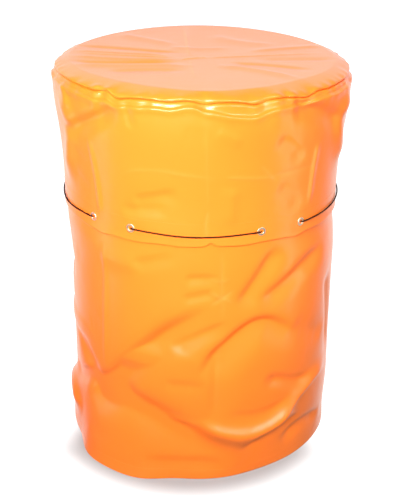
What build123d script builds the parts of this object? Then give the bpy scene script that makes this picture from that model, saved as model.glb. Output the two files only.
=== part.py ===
from build123d import *
from math import atan2, cos, degrees, hypot, pi, radians, sin, sqrt
import os

# A closed-head steel drum of about 208 litres under a two-piece cover of coated fabric. An open
# sleeve stands round the drum on the floor, and a cap covers the top. The cap's skirt overlaps the
# sleeve and is drawn in by an elastic cord, laced through five pairs of brass grommets.
# Millimetres, +Z up, origin on the floor under the drum's centre, front towards -Y. An angle round
# the drum is measured from the front, positive towards +X.

# Drum shell
drum_height = 880.0  # floor to the top of the upper chime
shell_inner_radius = 285.75
shell_wall = 1.2
hoop_rise = 10.0  # how far a rolling hoop stands out of the shell
hoop_width = 54.0
hoop_crown = 16.0  # width of the hoop where it is fully out
hoop_bend = 9.0
hoop_heights = (296.0, 584.0)

# Heads and their rolled seams (chimes)
head_wall = 1.2
head_recess = 19.0  # the head lies this far inside the end of the drum
head_bend = 4.0
chime_depth = 16.0  # length of the rolled seam along the shell
chime_build = 5.5  # thickness of the rolled layers outside the shell
chime_round = 2.4
seam_gap = 0.05  # between the shell and the head's layers

# Bungs: a two-inch filling bung and a three-quarter-inch vent bung, opposite each other
bung_inset = 63.75  # the bungs' centres, inside the shell's inner face
large_bore_radius = 29.0
vent_bore_radius = 12.6
neck_wall = 3.0  # of the threaded neck
neck_rise = 6.0  # the neck's end above the head
flange_lip = 5.5  # the flange's foot, wider than the neck
flange_foot = 3.0
flange_gasket_thickness = 1.5
thread_clearance = 0.3
plug_thread_length = 10.0
plug_rim = 3.0
plug_wall = 3.0
plug_floor = 2.5
plug_bar_width = 7.0
plug_gasket_thickness = 2.0
neck_fit = 0.05  # between the neck, the head and the gaskets

# Cover
cloth = 0.7
hoop_clearance = 1.5  # sleeve to rolling hoops
skirt_overlap = 162.3  # the sleeve reaches this far up inside the cap's skirt
sleeve_flare = 6.5  # the sleeve's foot stands out by this much
flare_height = 240.0
top_clearance = 0.5  # cap's top panel to the upper chime
seam_overhang = 4.6  # the cap's seam stands out of its skirt by this much
seam_drop = 15.0  # the seam lies this far below the top panel
shoulder_radius = 13.0  # the top panel turns down with this radius
seam_shoulder = 6.0  # upright part of the skirt under the seam
seam_taper = 40.0  # the skirt is back at its own radius this far below the seam
taper_bend = 20.0
skirt_length = 298.5  # seam to hem edge
sleeve_hem = 25.0
cap_hem = 52.0
hem_fold = 1.0  # a turned-in layer starts this far inside the hem's edge
layer_gap = 0.02  # between two layers of the sleeve
tape_width = 30.0
tape_gap = 1.0  # between a seam tape and the hems at its ends
seam_angle = 180.0  # the upright seams are at the back

# Grommets and cord
grommet_above_hem = 29.0
grommet_hole_radius = 4.75
grommet_barrel_wall = 0.6
grommet_flange_radius = 9.3
grommet_flange_rise = 1.5
grommet_edge_round = 1.1
washer_thickness = 0.8
washer_radius = 9.3
washer_fit = 0.05
grommet_fit = 0.1  # between the barrel and the cloth
front_gap_angle = -1.7  # middle of the gap between the two front pairs
front_pair_spacing = 70.3
pair_half_gap = 9.45
pairs = 5
cord_diameter = 3.2
cord_clearance = 0.3
cord_bend_radius = 6.0  # where the cord goes round a grommet's lip
cord_reach = 6.0  # half the distance along the hem that one crossing takes
knot_length = 15.0
knot_width = 8.0
knot_height = 11.0
tail_length = 18.0
tail_spread = 14.0  # degrees each tail leans from the plumb line

# Derived radii and heights
shell_outer_radius = shell_inner_radius + shell_wall
chime_outer_radius = shell_outer_radius + seam_gap + chime_build
head_top = drum_height - head_recess
bung_circle_radius = shell_inner_radius - bung_inset
sleeve_inner_radius = shell_outer_radius + hoop_rise + hoop_clearance
sleeve_outer_radius = sleeve_inner_radius + cloth
cord_radius = cord_diameter / 2
washer_inner_face = sleeve_outer_radius + cord_diameter + 2 * cord_clearance
washer_outer_face = washer_inner_face + washer_thickness
hem_inner_radius = hypot(washer_outer_face, washer_radius) + washer_fit
skirt_inner_radius = hem_inner_radius + cloth
skirt_outer_radius = skirt_inner_radius + cloth
seam_inner_radius = skirt_inner_radius + seam_overhang
top_inner = drum_height + top_clearance
seam_height = top_inner + cloth - seam_drop
hem_height = seam_height - skirt_length
sleeve_height = hem_height + skirt_overlap
grommet_height = hem_height + grommet_above_hem
grommet_face = skirt_outer_radius + washer_fit
cord_outer_line = grommet_face + grommet_flange_rise + cord_clearance + cord_radius
cord_inner_line = sleeve_outer_radius + cord_clearance + cord_radius

back_pair_spacing = (360 - front_pair_spacing) / (pairs - 1)
first_pair = front_gap_angle - front_pair_spacing / 2
pair_angles = [first_pair] + [first_pair + front_pair_spacing + i * back_pair_spacing for i in range(pairs - 1)]
grommet_angles = [angle + side * pair_half_gap for angle in pair_angles for side in (-1, 1)]
knot_angle = (pair_angles[2] + pair_angles[3]) / 2

os.makedirs("parts", exist_ok=True)


def outward(angle):
    """The unit vector that points away from the axis at an angle round the drum."""
    return Vector(sin(radians(angle)), -cos(radians(angle)), 0)


def upright_plane(angle=90.0, height=0.0):
    """A plane through the axis: its X points outward at the angle, and its Y points up."""
    out = outward(angle)
    return Plane(origin=(0, 0, height), x_dir=out, z_dir=out.cross(Vector(0, 0, 1)))


def on_circle(radius, angle):
    """A point level with the grommets, at a radius and an angle round the drum."""
    return outward(angle) * radius + Vector(0, 0, grommet_height)


# --- Drum shell: rolled and welded sheet with two rolling hoops ---
shell_end = head_wall + seam_gap
with BuildPart() as drum_shell:
    with BuildSketch(upright_plane()):
        with BuildLine():
            wall_line = [(shell_inner_radius, shell_end)]
            for height in hoop_heights:
                wall_line += [
                    (shell_inner_radius, height - hoop_width / 2),
                    (shell_inner_radius + hoop_rise, height - hoop_crown / 2),
                    (shell_inner_radius + hoop_rise, height + hoop_crown / 2),
                    (shell_inner_radius, height + hoop_width / 2),
                ]
            wall_line.append((shell_inner_radius, drum_height - shell_end))
            inside = FilletPolyline(*wall_line, radius=hoop_bend)
            offset(inside, amount=shell_wall, side=Side.RIGHT)
        make_face()
    revolve(axis=Axis.Z)
drum_shell.part.label = "drum_shell"
export_step(drum_shell.part, "parts/drum_shell.step")


# --- Heads: pressed discs whose edge is rolled over the end of the shell into a chime ---
with BuildSketch() as head_section:  # the upper head's, outward along X and up along Y
    head_wall_radius = shell_inner_radius - seam_gap
    with Locations((0, head_top)):
        Rectangle(head_wall_radius, head_wall, align=(Align.MIN, Align.MAX))
    with Locations((head_wall_radius, drum_height)):
        Rectangle(head_wall, head_recess + head_wall, align=(Align.MAX, Align.MAX))
    with Locations((chime_outer_radius, drum_height)):
        rolled_width = chime_outer_radius - head_wall_radius + head_wall
        Rectangle(rolled_width, head_wall, align=(Align.MAX, Align.MAX))
        Rectangle(chime_build, chime_depth, align=(Align.MAX, Align.MAX))
    fillet(head_section.vertices().group_by(Axis.X)[-1], chime_round)
    fillet(head_section.vertices().group_by(Axis.Y)[0].sort_by(Axis.X)[-1], head_bend)

with BuildPart() as drum_top_head:
    with BuildSketch(upright_plane()):
        add(head_section.sketch)
    revolve(axis=Axis.Z)
    for side, bore in ((1, large_bore_radius), (-1, vent_bore_radius)):
        with BuildSketch(Plane.XY.offset(head_top)):
            with Locations((side * bung_circle_radius, 0)):
                Circle(bore + neck_wall + neck_fit)
        extrude(amount=-2 * head_wall, mode=Mode.SUBTRACT)
drum_top_head.part.label = "drum_top_head"
export_step(drum_top_head.part, "parts/drum_top_head.step")

with BuildPart() as drum_bottom_head:
    with BuildSketch(upright_plane(height=drum_height)):
        add(mirror(head_section.sketch, about=Plane.XZ, mode=Mode.PRIVATE))
    revolve(axis=Axis.Z)
drum_bottom_head.part.label = "drum_bottom_head"
export_step(drum_bottom_head.part, "parts/drum_bottom_head.step")


def make_bung(prefix, side, bore_radius):
    """Writes one bung: the threaded flange and its gasket, and the plug and its gasket."""
    x = side * bung_circle_radius
    neck_radius = bore_radius + neck_wall
    foot_top = head_top - head_wall - flange_gasket_thickness
    neck_top = head_top + neck_rise
    rim_bottom = neck_top + plug_gasket_thickness

    with BuildPart() as flange:
        with BuildSketch(Plane.XY.offset(foot_top - flange_foot)):
            with Locations((x, 0)):
                RegularPolygon(neck_radius + flange_lip, 8)
        extrude(amount=flange_foot)
        with BuildSketch(Plane.XY.offset(foot_top)):
            with Locations((x, 0)):
                Circle(neck_radius)
        extrude(amount=neck_top - foot_top)
        with BuildSketch(Plane.XY.offset(neck_top)):
            with Locations((x, 0)):
                Circle(bore_radius)
        extrude(amount=-(neck_top - foot_top + flange_foot), mode=Mode.SUBTRACT)
    flange.part.label = f"{prefix}_bung_flange"
    export_step(flange.part, f"parts/{prefix}_bung_flange.step")

    with BuildPart() as flange_gasket:
        with BuildSketch(Plane.XY.offset(foot_top)):
            with Locations((x, 0)):
                Circle(neck_radius + flange_lip / 2)
                Circle(neck_radius + neck_fit, mode=Mode.SUBTRACT)
        extrude(amount=flange_gasket_thickness)
    flange_gasket.part.label = f"{prefix}_flange_gasket"
    export_step(flange_gasket.part, f"parts/{prefix}_flange_gasket.step")

    with BuildPart() as plug_gasket:
        with BuildSketch(Plane.XY.offset(neck_top)):
            with Locations((x, 0)):
                Circle(neck_radius)
                Circle(bore_radius, mode=Mode.SUBTRACT)
        extrude(amount=plug_gasket_thickness)
    plug_gasket.part.label = f"{prefix}_plug_gasket"
    export_step(plug_gasket.part, f"parts/{prefix}_plug_gasket.step")

    plug_radius = bore_radius - thread_clearance
    plug_bottom = rim_bottom - plug_gasket_thickness - plug_thread_length
    with BuildPart() as plug:
        with BuildSketch(Plane.XY.offset(plug_bottom)):
            with Locations((x, 0)):
                Circle(plug_radius)
        extrude(amount=rim_bottom - plug_bottom)
        with BuildSketch(Plane.XY.offset(rim_bottom)):
            with Locations((x, 0)):
                Circle(neck_radius)
        extrude(amount=plug_rim)
        rim_top = rim_bottom + plug_rim
        fillet(plug.faces().sort_by(Axis.Z)[-1].edges(), plug_rim / 3)
        with BuildSketch(Plane.XY.offset(rim_top)):
            with Locations((x, 0)):
                Circle(plug_radius - plug_wall)
        extrude(amount=-(rim_top - plug_bottom - plug_floor), mode=Mode.SUBTRACT)
        with BuildSketch(Plane.XY.offset(plug_bottom + plug_floor)):
            with Locations((x, 0)):
                Rectangle(2 * (plug_radius - plug_wall / 2), plug_bar_width)
        extrude(amount=rim_bottom - plug_bottom - plug_floor)
    plug.part.label = f"{prefix}_bung_plug"
    export_step(plug.part, f"parts/{prefix}_bung_plug.step")


make_bung("large", 1, large_bore_radius)
make_bung("vent", -1, vent_bore_radius)


# --- Sleeve: one cloth panel closed by a taped seam at the back, hemmed at both ends ---
def sleeve_line(depth, low, high):
    """The sleeve's section line, depth inside its inner face, between two heights."""
    heights = [low] + [flare_height] * (low < flare_height < high) + [high]
    flares = [sleeve_flare * max(0, 1 - height / flare_height) for height in heights]
    return [(sleeve_inner_radius - depth + flare, height) for height, flare in zip(heights, flares)]


def cloth_band(line, start_angle=90.0, sweep_angle=360.0, bend=None):
    """Revolves a band of cloth, one layer thick, whose inner face follows the line of points."""
    with BuildPart() as band:
        with BuildSketch(upright_plane(start_angle)):
            with BuildLine():
                inside = FilletPolyline(*line, radius=bend) if bend else Polyline(*line)
                offset(inside, amount=cloth, side=Side.RIGHT)
            make_face()
        revolve(axis=Axis.Z, revolution_arc=sweep_angle)
    return band


sleeve_panel = cloth_band(sleeve_line(0, 0, sleeve_height))
sleeve_panel.part.label = "sleeve_panel"
export_step(sleeve_panel.part, "parts/sleeve_panel.step")

inner_layer = cloth + layer_gap
sleeve_bottom_hem = cloth_band(sleeve_line(inner_layer, hem_fold, sleeve_hem))
sleeve_bottom_hem.part.label = "sleeve_bottom_hem"
export_step(sleeve_bottom_hem.part, "parts/sleeve_bottom_hem.step")

sleeve_top_hem = cloth_band(sleeve_line(inner_layer, sleeve_height - sleeve_hem, sleeve_height - hem_fold))
sleeve_top_hem.part.label = "sleeve_top_hem"
export_step(sleeve_top_hem.part, "parts/sleeve_top_hem.step")

tape_angle = degrees(tape_width / sleeve_inner_radius)
sleeve_tape_line = sleeve_line(inner_layer, sleeve_hem + tape_gap, sleeve_height - sleeve_hem - tape_gap)
sleeve_seam_tape = cloth_band(sleeve_tape_line, seam_angle - tape_angle / 2, tape_angle)
sleeve_seam_tape.part.label = "sleeve_seam_tape"
export_step(sleeve_seam_tape.part, "parts/sleeve_seam_tape.step")

# --- Cap: top panel turned down to the seam, skirt, turned-in hem and a taped seam at the back ---
top_line = [(0, top_inner), (seam_inner_radius, top_inner), (seam_inner_radius, seam_height)]
cap_top_panel = cloth_band(top_line[::-1], bend=shoulder_radius)
cap_top_panel.part.label = "cap_top_panel"
export_step(cap_top_panel.part, "parts/cap_top_panel.step")


with BuildPart() as grommet_holes:
    for angle in grommet_angles:
        hole_start = outward(angle) * (sleeve_outer_radius + cord_clearance) + Vector(0, 0, grommet_height)
        with BuildSketch(Plane(origin=hole_start, z_dir=outward(angle))):
            Circle(grommet_hole_radius + grommet_barrel_wall + grommet_fit)
        extrude(amount=skirt_outer_radius - sleeve_outer_radius + 1)

skirt_line = [
    (skirt_inner_radius, hem_height),
    (skirt_inner_radius, seam_height - seam_taper),
    (seam_inner_radius, seam_height - seam_shoulder),
    (seam_inner_radius, seam_height),
]
with BuildPart() as cap_skirt:
    add(cloth_band(skirt_line, bend=taper_bend).part)
    add(grommet_holes.part, mode=Mode.SUBTRACT)
cap_skirt.part.label = "cap_skirt"
export_step(cap_skirt.part, "parts/cap_skirt.step")

hem_line = [(hem_inner_radius, hem_height + hem_fold), (hem_inner_radius, hem_height + cap_hem)]
with BuildPart() as cap_hem_layer:
    add(cloth_band(hem_line).part)
    add(grommet_holes.part, mode=Mode.SUBTRACT)
cap_hem_layer.part.label = "cap_hem_layer"
export_step(cap_hem_layer.part, "parts/cap_hem_layer.step")

cap_tape_line = [
    (hem_inner_radius, hem_height + cap_hem + tape_gap),
    (hem_inner_radius, seam_height - seam_taper - taper_bend),
]
cap_seam_tape = cloth_band(cap_tape_line, seam_angle - tape_angle / 2, tape_angle)
cap_seam_tape.part.label = "cap_seam_tape"
export_step(cap_seam_tape.part, "parts/cap_seam_tape.step")

# --- Grommets: each is a brass barrel with a domed flange outside, set over a washer inside ---
barrel_radius = grommet_hole_radius + grommet_barrel_wall
for number, angle in enumerate(grommet_angles, start=1):
    set_axis = Axis((0, 0, grommet_height), tuple(outward(angle)))
    with BuildPart() as grommet:
        with BuildSketch(upright_plane(angle, grommet_height)) as section:
            with Locations((washer_inner_face, grommet_hole_radius)):
                Rectangle(
                    grommet_face + grommet_flange_rise - washer_inner_face,
                    grommet_barrel_wall,
                    align=(Align.MIN, Align.MIN),
                )
            with Locations((grommet_face, grommet_hole_radius)):
                Rectangle(
                    grommet_flange_rise,
                    grommet_flange_radius - grommet_hole_radius,
                    align=(Align.MIN, Align.MIN),
                )
            fillet(section.vertices().sort_by(Axis.X)[-2:], grommet_edge_round)
        revolve(axis=set_axis)
    grommet.part.label = f"grommet_{number}"
    export_step(grommet.part, f"parts/grommet_{number}.step")

    with BuildPart() as washer:
        with BuildSketch(upright_plane(angle, grommet_height)):
            with Locations((washer_inner_face, barrel_radius + washer_fit)):
                Rectangle(
                    washer_thickness,
                    washer_radius - barrel_radius - washer_fit,
                    align=(Align.MIN, Align.MIN),
                )
        revolve(axis=set_axis)
    washer.part.label = f"grommet_washer_{number}"
    export_step(washer.part, f"parts/grommet_washer_{number}.step")


# --- Draw cord: outside the cloth between the pairs, inside it between the grommets of a pair ---
def turn_left(vector):
    """The vector turned a quarter turn anticlockwise, seen from above."""
    return Vector(-vector.Y, vector.X, 0)


def crossing(angle, inwards):
    """The two bend centres and the straight run between them, where the cord passes a grommet."""
    half_turn = degrees(cord_reach / ((cord_outer_line + cord_inner_line) / 2))
    outer_centre = (cord_outer_line - cord_bend_radius, -half_turn if inwards else half_turn)
    inner_centre = (cord_inner_line + cord_bend_radius, half_turn if inwards else -half_turn)
    first, last = (outer_centre, inner_centre) if inwards else (inner_centre, outer_centre)
    first_centre = on_circle(first[0], angle + first[1])
    last_centre = on_circle(last[0], angle + last[1])
    between = last_centre - first_centre
    straight = sqrt(between.length**2 - (2 * cord_bend_radius) ** 2)
    tilt = atan2(2 * cord_bend_radius, straight) * (1 if inwards else -1)
    along = between.normalized().rotate(Axis.Z, degrees(tilt))
    away = turn_left(along) * cord_bend_radius * (-1 if inwards else 1)
    lines = (cord_outer_line, cord_inner_line) if inwards else (cord_inner_line, cord_outer_line)
    start = on_circle(lines[0], angle + first[1])
    end = on_circle(lines[1], angle + last[1])
    return start, first_centre, first_centre + away, last_centre - away, last_centre, end


def bend_arc(start, centre, end):
    """The short arc round a centre, from start to end."""
    middle = centre + ((start - centre) + (end - centre)).normalized() * cord_bend_radius
    return ThreePointArc(start, middle, end)


def hem_arc(start, end, radius):
    """An arc round the drum's axis, anticlockwise seen from above."""
    from_angle = degrees(atan2(start.Y, start.X))
    size = (degrees(atan2(end.Y, end.X)) - from_angle) % 360
    return CenterArc((0, 0, grommet_height), radius, from_angle, size)


knot_half_angle = degrees(knot_length / 2 / cord_outer_line)
laced = sorted(((angle - knot_angle) % 360, index) for index, angle in enumerate(grommet_angles))
with BuildPart() as draw_cord:
    with BuildLine() as cord_route:
        here = on_circle(cord_outer_line, knot_angle + knot_half_angle)
        for order, (_, index) in enumerate(laced):
            inwards = order % 2 == 0
            points = crossing(grommet_angles[index], inwards)
            hem_arc(here, points[0], cord_outer_line if inwards else cord_inner_line)
            bend_arc(points[0], points[1], points[2])
            Line(points[2], points[3])
            bend_arc(points[3], points[4], points[5])
            here = points[5]
        hem_arc(here, on_circle(cord_outer_line, knot_angle - knot_half_angle), cord_outer_line)
    route = cord_route.wires()[0]
    with BuildSketch(Plane(origin=route @ 0, z_dir=route % 0)):
        Circle(cord_radius)
    sweep(path=route)
draw_cord.part.label = "draw_cord"
export_step(draw_cord.part, "parts/draw_cord.step")
print(f"draw cord: {route.length:.1f} mm, tightest bend {cord_bend_radius:.1f} mm,"
      f" volume / (section x length) = {draw_cord.part.volume / (pi * cord_radius**2 * route.length):.4f}")

# --- Knot: the cord's two ends tied together at the back, with two short tails ---
knot_out = outward(knot_angle)
knot_side = turn_left(knot_out)
knot_centre = on_circle(skirt_outer_radius + cord_clearance + knot_width / 2, knot_angle)
with BuildPart() as cord_knot:
    with BuildSketch(Plane(origin=knot_centre, x_dir=knot_side, z_dir=knot_out)):
        Ellipse(knot_length / 2, knot_height / 2)
    extrude(amount=knot_width / 2, both=True, taper=0)
    fillet(cord_knot.faces().filter_by(Axis(tuple(knot_centre), tuple(knot_out))).edges(), knot_width / 2.6)
    for side in (-1, 1):
        lean = radians(tail_spread) * side
        down = Vector(0, 0, -cos(lean)) + knot_side * sin(lean)
        with BuildSketch(Plane(origin=knot_centre + knot_side * side * knot_length / 5, z_dir=down)):
            Circle(cord_radius)
        extrude(amount=knot_height / 2 + tail_length)
cord_knot.part.label = "cord_knot"
export_step(cord_knot.part, "parts/cord_knot.step")
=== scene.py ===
import bpy
import numpy as np
from mathutils import Matrix, Vector


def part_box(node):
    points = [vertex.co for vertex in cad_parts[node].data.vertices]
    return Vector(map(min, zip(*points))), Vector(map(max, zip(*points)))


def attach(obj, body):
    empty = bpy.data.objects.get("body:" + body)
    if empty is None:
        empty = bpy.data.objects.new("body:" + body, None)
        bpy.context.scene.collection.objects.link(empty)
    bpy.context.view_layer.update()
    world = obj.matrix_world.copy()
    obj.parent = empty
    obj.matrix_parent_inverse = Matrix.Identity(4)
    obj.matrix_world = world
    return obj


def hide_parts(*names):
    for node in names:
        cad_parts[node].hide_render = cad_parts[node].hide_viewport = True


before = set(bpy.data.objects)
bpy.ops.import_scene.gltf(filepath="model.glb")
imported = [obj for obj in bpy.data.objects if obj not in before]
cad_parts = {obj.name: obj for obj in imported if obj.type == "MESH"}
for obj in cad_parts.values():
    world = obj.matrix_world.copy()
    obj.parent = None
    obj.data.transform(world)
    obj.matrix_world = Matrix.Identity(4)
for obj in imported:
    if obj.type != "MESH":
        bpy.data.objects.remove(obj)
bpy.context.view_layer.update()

# Studio. The drum stands on a wide white floor before a bright wall. The floor glows white, and a painted
# shadow
#  dims its glow round the drum's foot. A soft key light stands at the front left and a wide light at the
#  front right.
#  A pink-tinted strip low on the left and a white strip on the right lay upright streaks on the cloth.

studio = bpy.context.scene
studio.view_settings.view_transform = "Standard"

camera_place = (0.0, -2.085, 1.366)
camera_tilt = np.radians(65.7)
camera_roll = np.radians(0.78)
camera_data = bpy.data.cameras.new("studio_camera")
camera_data.sensor_width = 36.0
camera_data.lens = 70.1
camera_data.shift_x = 0.0078
camera_data.shift_y = 0.0028
camera = bpy.data.objects.new("studio_camera", camera_data)
bpy.context.collection.objects.link(camera)
camera.matrix_world = (
    Matrix.Translation(camera_place)
    @ Matrix.Rotation(camera_tilt, 4, "X")
    @ Matrix.Rotation(camera_roll, 4, "Z")
)
studio.camera = camera


class Finish:
    """The look of a surface or of the room, as a node tree. Each call adds a node. A value given to a
    node is a constant or another node's output."""

    def __init__(self, owner):
        owner.use_nodes = True
        self.tree = owner.node_tree

    def plug(self, value, socket):
        """Joins an output to a socket, or sets the socket to a constant."""
        if isinstance(value, bpy.types.NodeSocket):
            self.tree.links.new(value, socket)
        else:
            socket.default_value = value

    def add(self, kind, **settings):
        """A node with its own settings, and its inputs under their own names."""
        node = self.tree.nodes.new("ShaderNode" + kind)
        for setting, value in settings.items():
            if hasattr(node, setting):
                setattr(node, setting, value)
            else:
                self.plug(value, node.inputs[setting.replace("_", " ")])
        return node

    def place(self):
        """Where a point is on the object, in metres."""
        return self.add("TexCoord").outputs["Object"]

    def part(self, vector, axis):
        """One part of a vector."""
        return self.add("SeparateXYZ", Vector=vector).outputs[axis]

    def number(self, operation, *values):
        """A sum on numbers."""
        node = self.add("Math", operation=operation)
        for value, socket in zip(values, node.inputs):
            self.plug(value, socket)
        return node.outputs["Value"]

    def vector(self, operation, *values):
        """A sum on vectors, or one vector's length."""
        node = self.add("VectorMath", operation=operation)
        for value, socket in zip(values, node.inputs):
            self.plug(value, socket)
        return node.outputs["Value" if operation == "LENGTH" else "Vector"]

    def noise(self, place, **settings):
        """An even random cloud, from nought to one."""
        return self.add("TexNoise", Vector=place, **settings).outputs["Fac"]

    def spread(self, value, start, end, low=0.0, high=1.0, shape="LINEAR"):
        """The value stretched so that start to end becomes low to high, and held at both ends."""
        node = self.add("MapRange", interpolation_type=shape, Value=value,
                        From_Min=start, From_Max=end, To_Min=low, To_Max=high)
        return node.outputs["Result"]

    def blend(self, amount, first, second):
        """The first colour where the amount is nought, and the second where it is one."""
        node = self.add("Mix", data_type="RGBA")
        for value, socket in ((amount, 0), (first, 6), (second, 7)):
            self.plug(value, node.inputs[socket])
        return node.outputs[2]

    def tones(self, amount, first, second, start=0.0, end=1.0):
        """A run of colour from the first at the amount start to the second at the amount end."""
        node = self.add("ValToRGB", Fac=amount)
        elements = node.color_ramp.elements
        elements[0].position = start
        elements[0].color = first
        elements[1].position = end
        elements[1].color = second
        return node.outputs["Color"]

    def bump(self, height, strength, distance, under=None):
        """Fine relief, as deep as the distance in metres, over another relief if there is one."""
        node = self.add("Bump", Height=height, Strength=strength, Distance=distance)
        if under is not None:
            self.plug(under, node.inputs["Normal"])
        return node.outputs["Normal"]

    def shade(self, **settings):
        """Gives the surface's shader its values."""
        shader = self.tree.nodes["Principled BSDF"]
        for setting, value in settings.items():
            self.plug(value, shader.inputs[setting.replace("_", " ")])


room = bpy.data.worlds.new("white_room")
studio.world = room
room_look = Finish(room)
facing = room_look.add("TexCoord").outputs["Generated"]
back_wall = room_look.spread(room_look.part(facing, "Y"), 0.42, 0.76, 0.26, 1.45, "SMOOTHSTEP")
white_sight = room_look.add("Mix")
room_look.plug(room_look.add("LightPath").outputs["Is Camera Ray"], white_sight.inputs[0])
room_look.plug(back_wall, white_sight.inputs[2])
room_look.plug(1.0, white_sight.inputs[3])
room_background = room.node_tree.nodes["Background"]
room_look.plug(white_sight.outputs[0], room_background.inputs["Strength"])
room_look.plug((1.0, 1.0, 1.0, 1.0), room_background.inputs["Color"])


def soft_light(name, place, aim, size, power, spread=180.0):
    """A rectangular light panel at a place, turned to face a point, that the camera doesn't see. Its
    grid keeps the light within the spread, in degrees."""
    panel = bpy.data.lights.new(name, "AREA")
    panel.shape = "RECTANGLE"
    panel.size = size[0]
    panel.size_y = size[1]
    panel.energy = power
    panel.spread = np.radians(spread)
    light = bpy.data.objects.new(name, panel)
    bpy.context.collection.objects.link(light)
    light.location = place
    direction = Vector(aim) - Vector(place)
    light.rotation_euler = direction.to_track_quat("-Z", "Y").to_euler()
    light.visible_camera = False
    return light


soft_light("front_light", (-0.9, -2.45, 1.75), (0.0, 0.0, 0.78), (0.9, 0.7), 15.4, 50.0)
soft_light("right_light", (1.5, -2.2, 2.1), (0.0, 0.0, 0.3), (1.5, 0.4), 7.0, 60.0)
left_strip = soft_light("left_strip", (-1.05, -0.27, 0.3), (-0.3, -0.25, 0.2), (0.08, 0.6), 1.4)
left_strip.data.color = (1.0, 0.42, 0.55)
soft_light("right_strip", (1.05, -0.45, 0.45), (0.3, -0.15, 0.35), (0.1, 0.9), 1.3)

floor_half = 20.0
floor_mesh = bpy.data.meshes.new("studio_floor")
floor_corners = [(-floor_half, -floor_half, 0), (floor_half, -floor_half, 0),
                 (floor_half, floor_half, 0), (-floor_half, floor_half, 0)]
floor_mesh.from_pydata(floor_corners, [], [(0, 1, 2, 3)])
floor = bpy.data.objects.new("studio_floor", floor_mesh)
bpy.context.collection.objects.link(floor)
floor.visible_glossy = False
floor.visible_diffuse = False
floor_with_painted_shadow = bpy.data.materials.new("floor_with_painted_shadow")
paper_look = Finish(floor_with_painted_shadow)
paper_place = paper_look.place()
# Painted shadow: the floor's glow is dimmed close round the drum's foot, strongest at the front and lifted
# at the sides and back, and is evenly white further out.
from_foot = paper_look.vector("LENGTH", paper_look.vector("ADD", paper_place, (0.018, 0.012, 0.0)))
behind = paper_look.spread(paper_look.part(paper_place, "Y"), -0.22, -0.04, 0.0, 0.09, "SMOOTHSTEP")
painted_shadow_reach = paper_look.number("ADD", from_foot, behind)
floor_glow_with_painted_shadow = paper_look.spread(painted_shadow_reach, 0.3, 0.39, 0.24, 1.1, "SMOOTHSTEP")
paper_look.shade(Base_Color=(0.25, 0.25, 0.25, 1.0), Roughness=1.0, Specular_IOR_Level=0.0,
                 Emission_Color=(1.0, 1.0, 1.0, 1.0), Emission_Strength=floor_glow_with_painted_shadow)
floor_mesh.materials.append(floor_with_painted_shadow)

# Drum. A steel drum with two rolling hoops and rolled chimes, sprayed with a dark blue enamel. The
# enamel has a slight orange peel, and is rubbed through to bare steel where the hoops touch.

enamel = bpy.data.materials.new("blue_enamel")
look = Finish(enamel)
where = look.place()
from_axis = look.vector("LENGTH", look.vector("MULTIPLY", where, (1.0, 1.0, 0.0)))
on_hoop = look.spread(from_axis, 0.2955, 0.2975)
scuff = look.noise(where, Scale=38.0, Detail=8.0, Roughness=0.7)
rubbed = look.number("MULTIPLY", on_hoop, look.spread(scuff, 0.5, 0.56))
fading = look.noise(where, Scale=3.0, Detail=3.0)
paint_tone = look.blend(fading, (0.035, 0.105, 0.26, 1.0), (0.06, 0.15, 0.34, 1.0))
bare_steel = (0.45, 0.44, 0.43, 1.0)
peel = look.noise(where, Scale=420.0, Detail=2.0)
look.shade(Base_Color=look.blend(rubbed, paint_tone, bare_steel), Metallic=rubbed,
           Roughness=look.spread(scuff, 0.0, 1.0, 0.24, 0.42), Normal=look.bump(peel, 0.25, 0.0002),
           Coat_Weight=0.4, Coat_Roughness=0.12)


def refinish(nodes, finish):
    """Gives CAD pieces a finish on every slot that they have."""
    for node in nodes:
        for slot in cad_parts[node].material_slots:
            slot.material = finish


refinish(["drum_shell", "drum_top_head", "drum_bottom_head"], enamel)

# Bungs. Pressed zinc-plated steel flanges and screw plugs, sealed with black rubber rings. The zinc
# is cloudy, with brighter patches where a bung key has rubbed it.

plating = bpy.data.materials.new("zinc_plating")
look = Finish(plating)
cloud = look.noise(look.place(), Scale=60.0, Detail=6.0, Roughness=0.6)
look.shade(Base_Color=look.tones(cloud, (0.42, 0.42, 0.43, 1.0), (0.72, 0.72, 0.7, 1.0)), Metallic=1.0,
           Roughness=look.spread(cloud, 0.0, 1.0, 0.5, 0.28))
refinish(["large_bung_flange", "vent_bung_flange", "large_bung_plug", "vent_bung_plug"], plating)

rubber = bpy.data.materials.new("black_rubber")
look = Finish(rubber)
bloom = look.noise(look.place(), Scale=180.0, Detail=5.0)
look.shade(Base_Color=look.tones(bloom, (0.012, 0.012, 0.013, 1.0), (0.045, 0.043, 0.042, 1.0)),
           Roughness=0.62, Normal=look.bump(bloom, 0.2, 0.0002))
refinish(["large_flange_gasket", "vent_flange_gasket", "large_plug_gasket", "vent_plug_gasket"], rubber)

# Sleeve. A tube of orange vinyl-coated polyester, joined into a ring at the back and hemmed top and
# bottom. It stands loosely round the drum: the hoops hold it out, the foot spreads on the floor, and
# the slack hangs in long slanting folds, with fine creases where it was folded for packing.

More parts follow.
